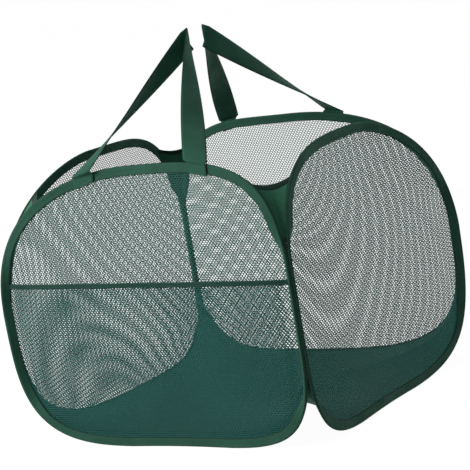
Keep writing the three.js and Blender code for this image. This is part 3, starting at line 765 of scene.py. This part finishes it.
def make_pocket():
    inside = hoop_inside(FRONT, TAPE_WIDTH - POCKET_HELD, lambda x: POCKET_TOP - 1 - pocket_drop(x))

    def offset(u, v):
        ease = pocket_edge_ease(u, v)
        return POCKET_LIFT + (pocket_offset(u, v) - POCKET_LIFT) * ease + FRONT.net_base(u, v)

    make_net(
        "pocket_net", FRONT, inside, offset, POCKET_NET_SHADED_MATERIAL, "front", "pocket_mesh",
        with_pieces=make_pocket_hem(),
    )


def make_pocket_hem():
    """A folded elastic band: two soft ribs with a stitched groove between them, slightly gathered."""
    section = []
    for k in range(15):
        height = HEM_HALF_WIDTH * (k / 7 - 1)
        groove = 0.55 * math.exp(-((height / 0.55) ** 2))
        section.append((height, 1.05 * math.sqrt(max(0.0, 1 - (abs(height) / 3.15) ** 4)) - groove))
    tuck = TAPE_HALF + (TAPE_WIDTH - POCKET_HELD - TAPE_HALF) * math.cos(FULL_TURN)
    left = tuck - FRONT.reach(-1, POCKET_TOP)
    right = FRONT.reach(1, POCKET_TOP) - tuck
    rings, middle = [], []
    for i in range(HEM_STEPS + 1):
        u = left + (right - left) * i / HEM_STEPS
        ease = smooth((min(u - left, right - u) - 2) / POCKET_EASE)
        here = (np.array([u]), np.array([POCKET_TOP]))
        w = 1.2 + (float(pocket_offset(*here)[0]) - 0.5) * ease + float(FRONT.net_base(*here)[0])
        gather = (0.16 * math.sin(u * 1.1) + 0.12 * math.sin(u * 0.37 + 1)) * 0.5
        v = POCKET_TOP - pocket_drop(u)
        ring = [FRONT.place(u, v + h, w + d + gather) for h, d in section]
        ring += [FRONT.place(u, v + h, w - HEM_THICK + gather) for h, d in reversed(section)]
        rings.append(ring)
        middle.append(FRONT.place(u, v, w + 0.55))
    across = [h for h, _ in section] + [h + 8 for h, _ in section] + [-HEM_HALF_WIDTH]
    skin = sweep(rings, True, False, across, lengths(middle), caps=True)
    obj = make_object("pocket_elastic_hem", skin, ELASTIC_MATERIAL, "front")
    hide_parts("pocket_hem")
    out = [Vector((0, -1, 0))] * len(middle)
    return [obj, stitch_row("pocket_hem_stitches", middle, out, HEM_STITCH, "front", lift=-0.05)]


# Bottom

# The cloth is sewn this far in from the hoops' edge, and its corners rise this much higher between them
BOTTOM_INSET = 10.0
CORNER_RISE = 96.0
NEAR_RIDGE_POWER = 1.7
SIDE_RIDGE_POWER = 4.0
# The cloth is sewn this deep inside a flat tape, and this much further from the nose on a turned one
BOTTOM_SEWN, BOTTOM_TURNED = 2.35, 2.6
BOTTOM_HALF_THICK = 0.45
BOTTOM_WIDE, BOTTOM_DEEP = 440, 430
BOTTOM_CELLS = 120
BOTTOM_ROW = BOTTOM_CELLS + 1


def foot_arc(panel):
    """Where the bottom is sewn to a panel's lower arc, from end to end, along the inner side of its tape."""
    steps, _ = panel.hoop(2400)
    low = [(p, n) for p, n, _ in steps if p.y < BOTTOM_INSET + CORNER_RISE - MID]
    low.sort(key=lambda e: math.atan2(e[0].x / panel.half, -e[0].y / MID))
    line = []
    for point, inward in low:
        share = panel.turn_at(point, inward)
        inset, depth = BOTTOM_INSET + BOTTOM_TURNED * share, BOTTOM_SEWN * (1 - share)
        line.append(panel.tape_place(point, inward, inset, -depth))
    run = lengths(line)
    places = [run[-1] * i / BOTTOM_CELLS for i in range(BOTTOM_ROW)]
    return [line[k].lerp(line[k + 1], part) for k, part in spaced(run, places)]


def pulled(arc, first, last):
    """The arc with its ends brought together with its neighbours' ends."""
    moved = []
    for i, p in enumerate(arc):
        a, b = smooth(1 - i / 4), smooth(1 - (BOTTOM_CELLS - i) / 4)
        moved.append(p + (first - arc[0]) * a + (last - arc[-1]) * b)
    return moved


def bottom_grid():
    """Points over the whole bottom, with a taut ridge into each corner and slack between them."""
    south, east = foot_arc(FRONT), foot_arc(RIGHT)
    north, west = foot_arc(BACK)[::-1], foot_arc(LEFT)[::-1]
    ends = ((south[0], west[0]), (south[-1], east[0]), (north[-1], east[-1]), (north[0], west[-1]))
    corners = [(a + b) / 2 for a, b in ends]
    south, north = pulled(south, corners[0], corners[1]), pulled(north, corners[3], corners[2])
    west, east = pulled(west, corners[0], corners[3]), pulled(east, corners[1], corners[2])
    grid = []
    for j in range(BOTTOM_ROW):
        for i in range(BOTTOM_ROW):
            p, q = i / BOTTOM_CELLS, j / BOTTOM_CELLS
            # A sheet stretched between its four edges
            across = south[i].lerp(north[i], q)
            along = west[j].lerp(east[j], p)
            between = corners[0].lerp(corners[1], p).lerp(corners[3].lerp(corners[2], p), q)
            x, y, _ = across + along - between
            side, foot = 1 - abs(2 * p - 1), 1 - abs(2 * q - 1)
            least, inside = min(side, foot), max(side, foot)
            edge = (south if q < 0.5 else north)[i] if side > foot else (west if p < 0.5 else east)[j]
            power = NEAR_RIDGE_POWER if (p < 0.5) != (q < 0.5) else SIDE_RIDGE_POWER
            ridge = BOTTOM_INSET + CORNER_RISE * (1 - inside) ** power
            share = smooth(least / inside) if inside > 0 else 1.0
            rise = edge.z + (ridge - edge.z) * share
            ripple = 0.8 * math.sin(x / 33 + y / 71) * math.sin(y / 41 - x / 95 + 1.1)
            slack = 1.5 * math.sin(side * 7 + 0.4) * math.sin(foot * 6 + 1) * (1 - inside) ** 0.5
            pull = 1.3 * math.sin(32 * math.atan2(least, inside)) * (1 - inside) ** 2
            grid.append(Vector((x, y, max(rise + smooth(least * 5) * (ripple + slack + pull), 2.0))))
    return grid


def grid_normals(grid):
    normals = []
    for j in range(BOTTOM_ROW):
        for i in range(BOTTOM_ROW):
            a = grid[j * BOTTOM_ROW + min(i + 1, BOTTOM_CELLS)] - grid[j * BOTTOM_ROW + max(i - 1, 0)]
            b = grid[min(j + 1, BOTTOM_CELLS) * BOTTOM_ROW + i] - grid[max(j - 1, 0) * BOTTOM_ROW + i]
            n = a.cross(b)
            normals.append(n.normalized() if n.length > 1e-9 else Vector((0, 0, 1)))
    return normals


def quarter_cells(quarter):
    """The cells of the bottom that belong to one wall. The cells on a diagonal are cut in two."""
    kept = []
    for j in range(BOTTOM_CELLS):
        for i in range(BOTTOM_CELLS):
            a, b = j * BOTTOM_ROW + i, j * BOTTOM_ROW + i + 1
            d, c = a + BOTTOM_ROW, b + BOTTOM_ROW
            parts = [(a, b, c, d)]
            if i == j:
                parts = [(a, b, c), (a, c, d)]
            elif i + j == BOTTOM_CELLS - 1:
                parts = [(a, b, d), (b, c, d)]
            for part in parts:
                x = sum(k % BOTTOM_ROW for k in part) / len(part) / BOTTOM_CELLS - 0.5
                y = sum(k // BOTTOM_ROW for k in part) / len(part) / BOTTOM_CELLS - 0.5
                here = (0 if y < 0 else 2) if abs(y) > abs(x) else (3 if x < 0 else 1)
                if here == quarter:
                    kept.append(part)
    return kept


def make_bottom():
    """The bottom sheet, sewn to the four lower arcs, in one quarter for each wall."""
    grid = bottom_grid()
    normals = grid_normals(grid)
    for quarter, panel in enumerate(PANELS):
        kept = quarter_cells(quarter)
        used = sorted({k for cell in kept for k in cell})
        place = {k: n for n, k in enumerate(used)}
        cells = [tuple(place[k] for k in cell) for cell in kept]
        upper = [grid[k] + normals[k] * BOTTOM_HALF_THICK for k in used]
        lower = [grid[k] - normals[k] * BOTTOM_HALF_THICK for k in used]
        across = [(k % BOTTOM_ROW) / BOTTOM_CELLS * BOTTOM_WIDE for k in used]
        along = [(k // BOTTOM_ROW) / BOTTOM_CELLS * BOTTOM_DEEP for k in used]
        skin = closed_sheet(upper, lower, cells, list(zip(across, along)))
        obj = make_object(f"bottom_cloth_{panel.name}", skin, CLOTH_MATERIAL, panel.name)
        # Both sides take the whole sheet's own normals, so the cuts don't show
        below = len(used)
        corner_normals = []
        for polygon in obj.data.polygons:
            on_rim = len({k % below for k in polygon.vertices}) < len(polygon.vertices)
            for k in polygon.vertices:
                n = normals[used[k % below]]
                corner_normals.append(polygon.normal.copy() if on_rim else (n if k < below else -n))
        obj.data.normals_split_custom_set(corner_normals)
        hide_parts("bottom_panel")
        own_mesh(obj)


# Gussets and corner seams

CORNER_NAMES = ("front_right", "right_back", "back_left", "left_front")
# Foot and top of a gusset as shares of the height, and the heights of a seam's ends
NEAR_GUSSET, SIDE_GUSSET = (0.72, 0.91), (0.63, 0.90)
NEAR_SEAM, SIDE_SEAM = (62, 262), (84, 232)
# How a gusset laps over the inner face of a tape: distance from the nose, depth inside
GUSSET_LAPS = [(10.5, 2.0), (8.5, 2.1), (6.5, 2.2), (4.5, 2.4), (2.1, 2.6)]
GUSSET_TAIL = 26.0
GUSSET_THICK = 0.8
GUSSET_ROWS = 40
# Half the width of the strip that bends when the walls fold, in metres
HEM_DEPTH = 7.0
HEM_SAG = 5.0
# Two tapes meet in a corner where both are less than this from its line
MEETING_GAP = 2.4
# The fold line stands this far outside the panels' half spans
SEAM_OUT = 0.3
SEAM_RADIUS = 1.5
SEAM_STEPS = 100
WHIP_THREAD = 0.26
WHIP_PITCH = 3.4
WHIP_RADIUS = 1.55


def corner_walls(turns):
    """The panels before and after a corner, each with the sign of its side there."""
    return (PANELS[turns], 1), (PANELS[(turns + 1) % 4], -1)


def corner_inward(turns):
    return quarter_turns(turns) @ Vector((-1, 1, 0)).normalized()


def gusset_row(turns, v, sag, lift=0.0):
    """One level line of a gusset: on one tape's inner face, across the corner, on the next tape's."""
    ends = []
    for panel, along in corner_walls(turns):
        point, normal = panel.side_edge(along, v)
        laps = [panel.tape_place(point, normal, inset, -w) for inset, w in GUSSET_LAPS]
        for p in laps:
            p.z = v + MID
        ends.append(laps)
    start, end = ends[0][-1], ends[1][-1]
    row = ends[0][:-1]
    count = 24
    for k in range(count + 1):
        part = k / count
        point = start.lerp(end, part)
        point.z -= 4 * sag * part * (1 - part)
        row.append(point)
    row += ends[1][:-1][::-1]
    return [p + corner_inward(turns) * lift for p in row]


def sheet_from_rows(rows, outward, thickness):
    """The skin of a closed sheet over rows of points, thickened along one direction."""
    columns = len(rows[0])
    upper = [p + outward * thickness / 2 for row in rows for p in row]
    lower = [p - outward * thickness / 2 for row in rows for p in row]
    along = lengths(rows[-1])
    heights = lengths([row[columns // 2] for row in rows])
    cells = []
    for j in range(len(rows) - 1):
        for i in range(columns - 1):
            a = j * columns + i
            cells.append((a, a + 1, a + 1 + columns, a + columns))
    return closed_sheet(upper, lower, cells, [(x, y) for y in heights for x in along])


def make_gusset(turns):
    """The cloth of one corner, with small pull lines from its tip, and the rolled hem along its top."""
    name = CORNER_NAMES[turns]
    inward = corner_inward(turns)
    foot, top = NEAR_GUSSET if turns % 2 == 0 else SIDE_GUSSET
    low, high = foot * HEIGHT - MID - GUSSET_TAIL, top * HEIGHT - MID - 1.0
    rows = []
    for i in range(GUSSET_ROWS + 1):
        part = i / GUSSET_ROWS
        row = gusset_row(turns, low + (high - low) * part, HEM_SAG * part**2)
        middle = len(row) / 2
        bent = []
        for k, p in enumerate(row):
            spread = 1 - abs(k - middle) / middle
            pull = 0.9 * part * (1 - part) * spread * math.sin(9.0 * (k / len(row)) + 1.5 * part)
            hollow = 2.4 * math.sin(math.pi * part) * spread**2
            bent.append(p + inward * (pull + hollow))
        rows.append(bent)
    obj = make_object(f"{name}_gusset_cloth", sheet_from_rows(rows, inward, GUSSET_THICK), GUSSET_MATERIAL)
    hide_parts(f"{name}_gusset")
    front_rows, back_rows = [], []
    for k in range(9):
        part = k / 8
        v = top * HEIGHT - MID - HEM_DEPTH * (1 - part)
        puff = math.sqrt(max(0.0, 1 - (2 * part - 1) ** 4)) + 0.3
        front_rows.append(gusset_row(turns, v, HEM_SAG, lift=0.5 + puff))
        back_rows.append(gusset_row(turns, v, HEM_SAG, lift=0.5 - puff))
    rings = [list(ring) for ring in zip(*front_rows, *reversed(back_rows))]
    along = lengths([ring[0] for ring in rings])
    face = [HEM_DEPTH * k / 8 for k in range(9)]
    across = face + [9 + x for x in face] + [18]
    skin = sweep(rings, True, False, across, along, caps=True)
    hem = make_object(f"{name}_gusset_hem", skin, HEM_MATERIAL)
    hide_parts(f"{name}_hem")
    return obj, hem


def make_seam(turns, body):
    """The sewn join of two tapes: a rolled core on the fold line, wound with whip stitches."""
    name = CORNER_NAMES[turns]
    walls = corner_walls(turns)
    foot, top = NEAR_SEAM if turns % 2 == 0 else SIDE_SEAM
    # Only where both tapes reach the corner
    met = []
    for v in range(-140, 121):
        if max(panel.half - abs(panel.side_edge(along, v)[0].x) for panel, along in walls) < MEETING_GAP:
            met.append(v + MID)
    foot, top = max(foot, min(met)), min(top, max(met))
    across, deep = [panel.half + SEAM_OUT for panel, _ in walls]
    axis = quarter_turns(turns) @ Vector((across, -deep, 0))

    def tube(path, sizes, sides):
        rings = []
        for i, (centre, size) in enumerate(zip(path, sizes)):
            tangent = (path[min(i + 1, len(path) - 1)] - path[max(i - 1, 0)]).normalized()
            out = Vector((centre.x - axis.x, centre.y - axis.y, 0))
            out = out.normalized() if out.length > 0.01 else corner_inward(turns)
            side = tangent.cross(out).normalized()
            angles = [2 * math.pi * k / sides for k in range(sides)]
            rings.append([centre + (out * math.cos(a) + side * math.sin(a)) * size for a in angles])
        return sweep(rings, True, False, [k * 0.5 for k in range(sides + 1)], lengths(path), caps=True)

    core, sizes = [], []
    for i in range(SEAM_STEPS + 1):
        core.append(axis + Vector((0, 0, foot + (top - foot) * i / SEAM_STEPS)))
        end = math.sqrt(min(1.0, (min(i, SEAM_STEPS - i) + 0.3) / 4))
        sizes.append(SEAM_RADIUS * end + 0.06 * math.sin(i * 1.7))
    # The core's near black colour is painted shade of the groove between the tapes.
    obj = make_object(f"{name}_rolled_seam", tube(core, sizes, 14), SEAM_SHADE_MATERIAL, body)
    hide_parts(f"{name}_seam")
    path = []
    for i in range(int((top - foot - 8) / WHIP_PITCH * 12) + 1):
        phase = 2 * math.pi * i / 12
        x, y = WHIP_RADIUS * math.cos(phase), WHIP_RADIUS * math.sin(phase)
        path.append(axis + Vector((x, y, foot + 4 + WHIP_PITCH * i / 12)))
    skin = tube(path, [WHIP_THREAD] * len(path), 6)
    whip = make_object(f"{name}_whip_stitches", skin, THREAD_MATERIAL, body)


# Handles

WEB_WIDTH = 30.0
WEB_THICK = 1.6
SEWN_OFFSET = CAD_TAPE_HALF + 0.6 + WEB_THICK / 2
SEWN_FLAT_OFFSET = TAPE_HALF + 0.1 + WEB_THICK / 2
SEWN_LENGTH = 16.0
PEAK = Vector((0, -18, 494))
UP = Vector((0, 0, 1))
# A leg starts this far above the hoop and this far outside the sewn end
BASE_RISE, BASE_OUT = 3, 2.5
# Where the two legs stand along the front, and how far the far one is moved towards the middle
FAR_U, NEAR_U = -78, 114
FAR_SHIFT = 12.0
FOLD_DROP = UP * 1.8
FOLD_SLANT = UP * 0.2
LEG_STEPS = 72
# The box of stitches on a sewn end, with one diagonal, and the other diagonal
BOX_LINE = [(-12, -5.5), (12, -5.5), (12, -14), (-12, -14), (-12, -5.5), (12, -14)]
CROSS_LINE = [(12, -5.5), (-12, -14)]


def handle_base(u):
    inner = math.copysign(abs(u) - WEB_WIDTH / 2, u)
    return FRONT.place(u, FRONT.arc(inner) + BASE_RISE, SEWN_OFFSET + BASE_OUT)


FAR_BASE, NEAR_BASE = handle_base(FAR_U), handle_base(NEAR_U)
FOLD_AXIS = (NEAR_BASE - FAR_BASE).normalized()
FAR_BASE = FAR_BASE + FOLD_AXIS * FAR_SHIFT - FOLD_DROP
NEAR_BASE = NEAR_BASE - FOLD_DROP
FAR_FOLD = (FOLD_AXIS + FOLD_SLANT).normalized()
NEAR_FOLD = (FOLD_AXIS - FOLD_SLANT).normalized()


def strap_section():
    """Cross-section of webbing as (across, out) pairs: flat faces, rounded selvedges."""
    half, thick = WEB_WIDTH / 2, WEB_THICK / 2
    upper = []
    for k in range(13):
        x = -half + WEB_WIDTH * k / 12
        drop = max(0.0, abs(x) - (half - 1.5)) / 1.5
        upper.append((x, thick * (1 - 0.55 * drop**2)))
    return mirrored(upper)


def webbing_skin(rings):
    section = strap_section()
    across = [x for x, _ in section] + [section[0][0] - 0.4]
    middle = [sum(ring, Vector()) / len(ring) for ring in rings]
    return sweep(rings, True, False, across, lengths(middle), caps=True)


def leg_rings(base, width_at_base, sign):
    """Rings up one leg: slanted at its fold line, turned by a quarter turn at the crease."""
    along = PEAK - base
    length = along.length
    along.normalize()
    start = (width_at_base - along * width_at_base.dot(along)).normalized()
    end = (UP - along * UP.dot(along)).normalized()
    turn = math.atan2(start.cross(end).dot(along), start.dot(end))
    slant = width_at_base.dot(along) / width_at_base.dot(start)
    rings = []
    first = 0.02 / length
    for i in range(LEG_STEPS):
        part = first + (1 - first) * i / LEG_STEPS
        width = Matrix.Rotation(turn * part, 3, along) @ start
        out = along.cross(width) * sign * min(1.0, 0.5 + 0.5 * (part - first) * length / 5)
        width = width + along * (slant * (1 - part))
        centre = base + along * (part * length)
        rings.append([centre + width * x + out * y for x, y in strap_section()])
    return rings


def make_handle(turns, name):
    """One webbing handle: up from one base, over the crease, down to the other base."""
    spin = quarter_turns(turns)
    leg_angle = (PEAK - FAR_BASE).to_2d().angle((PEAK - NEAR_BASE).to_2d()) / 2
    depth = 1 / math.sin(leg_angle)
    crease = []
    for x, y in strap_section():
        deep = 1 + (depth - 1) * min(1.0, x / 15 + 1)
        crease.append(PEAK + UP * x + Vector((0, -y * deep, 0)))
    falling = leg_rings(NEAR_BASE, -NEAR_FOLD, -1)
    rings = leg_rings(FAR_BASE, FAR_FOLD, 1) + [crease] + falling[::-1]
    skin = webbing_skin([[spin @ p for p in ring] for ring in rings])
    obj = make_object(f"{name}_strap", skin, WEBBING_MATERIAL, name)
    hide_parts(name)


def make_sewn_end(turns, base, fold_line, u, body, node):
    """The end of a handle, flat on the tape, with a boxed cross of stitches."""
    spin = quarter_turns(turns)
    rings = []
    count = 18
    start = base + Vector((0, 0, -0.02))
    for i in range(count + 1):
        down = SEWN_LENGTH * i / count
        fold = min(1.0, down / 5)
        ring = []
        for x, y in strap_section():
            flat = FRONT.place(u + x, base.z - MID - down + fold_line.z * x, SEWN_FLAT_OFFSET)
            level = start + fold_line * x - UP * down
            point = level.lerp(flat, smooth(fold))
            ring.append(spin @ (point + Vector((0, -y * (0.5 + 0.5 * fold), 0))))
        rings.append(ring)
    obj = make_object(f"{node}_webbing", webbing_skin(rings), WEBBING_MATERIAL, body)
    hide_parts(node)
    face = SEWN_FLAT_OFFSET + WEB_THICK / 2
    for label, line in (("box", BOX_LINE), ("cross", CROSS_LINE)):
        places = []
        for (x0, d0), (x1, d1) in zip(line, line[1:]):
            for k in range(12):
                x, d = x0 + (x1 - x0) * k / 12, d0 + (d1 - d0) * k / 12
                v = base.z - MID + d + fold_line.z * x
                places.append([spin @ FRONT.place(u + x, v, w) for w in (face, face + 1)])
        path, normals = stitch_path(places)
        stitch_row(f"{node}_{label}_stitches", path, normals, BOX_STITCH, body)


# Put together

for panel in PANELS:
    make_hoop(panel)
    make_binding(panel)
    tape_stitching(panel)
    make_panel_net(panel)
make_pocket()
make_bottom()
for corner, owner in enumerate(("front", "right", "back", "front")):
    soft_pieces = make_gusset(corner)
    if corner == 2:
        # No joint joins the back to the left panel, so this gusset gathers against the back panel
        for soft in soft_pieces:
            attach(soft, "back")
            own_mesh(soft)
    else:
        for soft in soft_pieces:
            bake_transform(soft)
    make_seam(corner, owner)
for turns, body in ((0, "front"), (2, "back")):
    make_handle(turns, f"{body}_handle")
for turns, body in ((0, "front"), (2, "back")):
    make_sewn_end(turns, FAR_BASE, FAR_FOLD, FAR_U + FAR_SHIFT, body, f"{body}_handle_far_end")
    make_sewn_end(turns, NEAR_BASE, NEAR_FOLD, NEAR_U, body, f"{body}_handle_near_end")


# Stage, light and camera, in metres

FLOOR_HALF = 60.0
FLOOR_CELLS = 12
FLOOR_DROP = 0.0006
FLOOR_GLOW = 0.97
SKY_STRENGTH = 0.12
PHOTO_SIZE = 470
# Where the camera stands from its target, and its roll, lens and shift, fitted to the photograph
CAMERA_TARGET = Vector((0, 0, 0.180))
CAMERA_DIRECTION = Vector((0.557, -0.813, 0.171))
CAMERA_DISTANCE = 2.508
CAMERA_ROLL = math.radians(-9.70)
CAMERA_LENS = 143.4
CAMERA_SHIFT = (-1.0, 34.71)


def grey(value):
    return (value, value, value, 1)


def stage_material():
    """A plain pale floor for the light, which glows white where the camera sees it."""
    n = new_material("pale_floor")
    tone = n.mix(n.ramp(n.noise(30.0, 2.0), 0.3, 0.7), grey(0.49), grey(0.51))
    seen = n.seen()
    plain = n.add("ShaderNodeBsdfDiffuse", {"Color": n.mix(seen, tone, grey(0.22))})
    glow = n.add("ShaderNodeEmission", {"Color": grey(1), "Strength": n.math("MULTIPLY", seen, FLOOR_GLOW)})
    return n.finish(n.add("ShaderNodeAddShader", {0: plain.outputs[0], 1: glow.outputs[0]}))


def make_floor():
    row = FLOOR_CELLS + 1
    ticks = [FLOOR_HALF * (2 * i / FLOOR_CELLS - 1) for i in range(row)]
    points = [(x, y, 0) for y in ticks for x in ticks]
    corners = [j * row + i for j in range(FLOOR_CELLS) for i in range(FLOOR_CELLS)]
    mesh = bpy.data.meshes.new("floor")
    mesh.from_pydata(points, [], [(a, a + 1, a + row + 1, a + row) for a in corners])
    mesh.materials.append(stage_material())
    floor = bpy.data.objects.new("floor", mesh)
    floor.location.z = -FLOOR_DROP
    bpy.context.scene.collection.objects.link(floor)


def make_world():
    """White where the camera sees it, and a soft cool sky for the light."""
    n = Nodes(bpy.data.worlds.new("studio"), "ShaderNodeOutputWorld")
    soft = n.add("ShaderNodeBackground", {0: (0.93, 0.96, 1.0, 1), 1: SKY_STRENGTH})
    white = n.add("ShaderNodeBackground", {0: grey(1), 1: 1.0})
    sky = n.add("ShaderNodeMixShader", {0: n.seen(), 1: soft.outputs[0], 2: white.outputs[0]})
    bpy.context.scene.world = n.finish(sky)


def make_lamp(name, place, aim, size, power):
    data = bpy.data.lights.new(name, "AREA")
    data.shape = "RECTANGLE"
    data.size, data.size_y = size
    data.energy = power
    lamp = bpy.data.objects.new(name, data)
    lamp.location = place
    lamp.rotation_euler = (Vector(aim) - Vector(place)).to_track_quat("-Z", "Y").to_euler()
    bpy.context.scene.collection.objects.link(lamp)


def make_camera():
    """The photograph's view: a long lens from the front right, rolled to the left."""
    back = CAMERA_DIRECTION.normalized()
    right = UP.cross(back).normalized()
    up = back.cross(right).normalized()
    cos, sin = math.cos(CAMERA_ROLL), math.sin(CAMERA_ROLL)
    basis = Matrix((right * cos + up * sin, up * cos - right * sin, back)).transposed()
    data = bpy.data.cameras.new("camera")
    data.sensor_width = 36
    data.lens = CAMERA_LENS
    data.shift_x, data.shift_y = [shift / PHOTO_SIZE for shift in CAMERA_SHIFT]
    data.clip_end = 200
    camera = bpy.data.objects.new("camera", data)
    place = CAMERA_TARGET + back * CAMERA_DISTANCE
    camera.matrix_world = Matrix.Translation(place) @ basis.to_4x4()
    bpy.context.scene.collection.objects.link(camera)
    bpy.context.scene.camera = camera


make_floor()
make_world()
make_lamp("key", (-1.5, -2.1, 1.6), (0, 0, 0.2), (1.4, 1.1), 48)
make_lamp("fill", (2.4, -1.2, 1.3), (0, 0, 0.2), (1.4, 1.4), 0.4)
make_lamp("top", (0.2, 0.6, 2.6), (0, 0, 0.2), (2.0, 2.0), 4.5)
make_camera()
bpy.context.scene.view_settings.view_transform = "Standard"
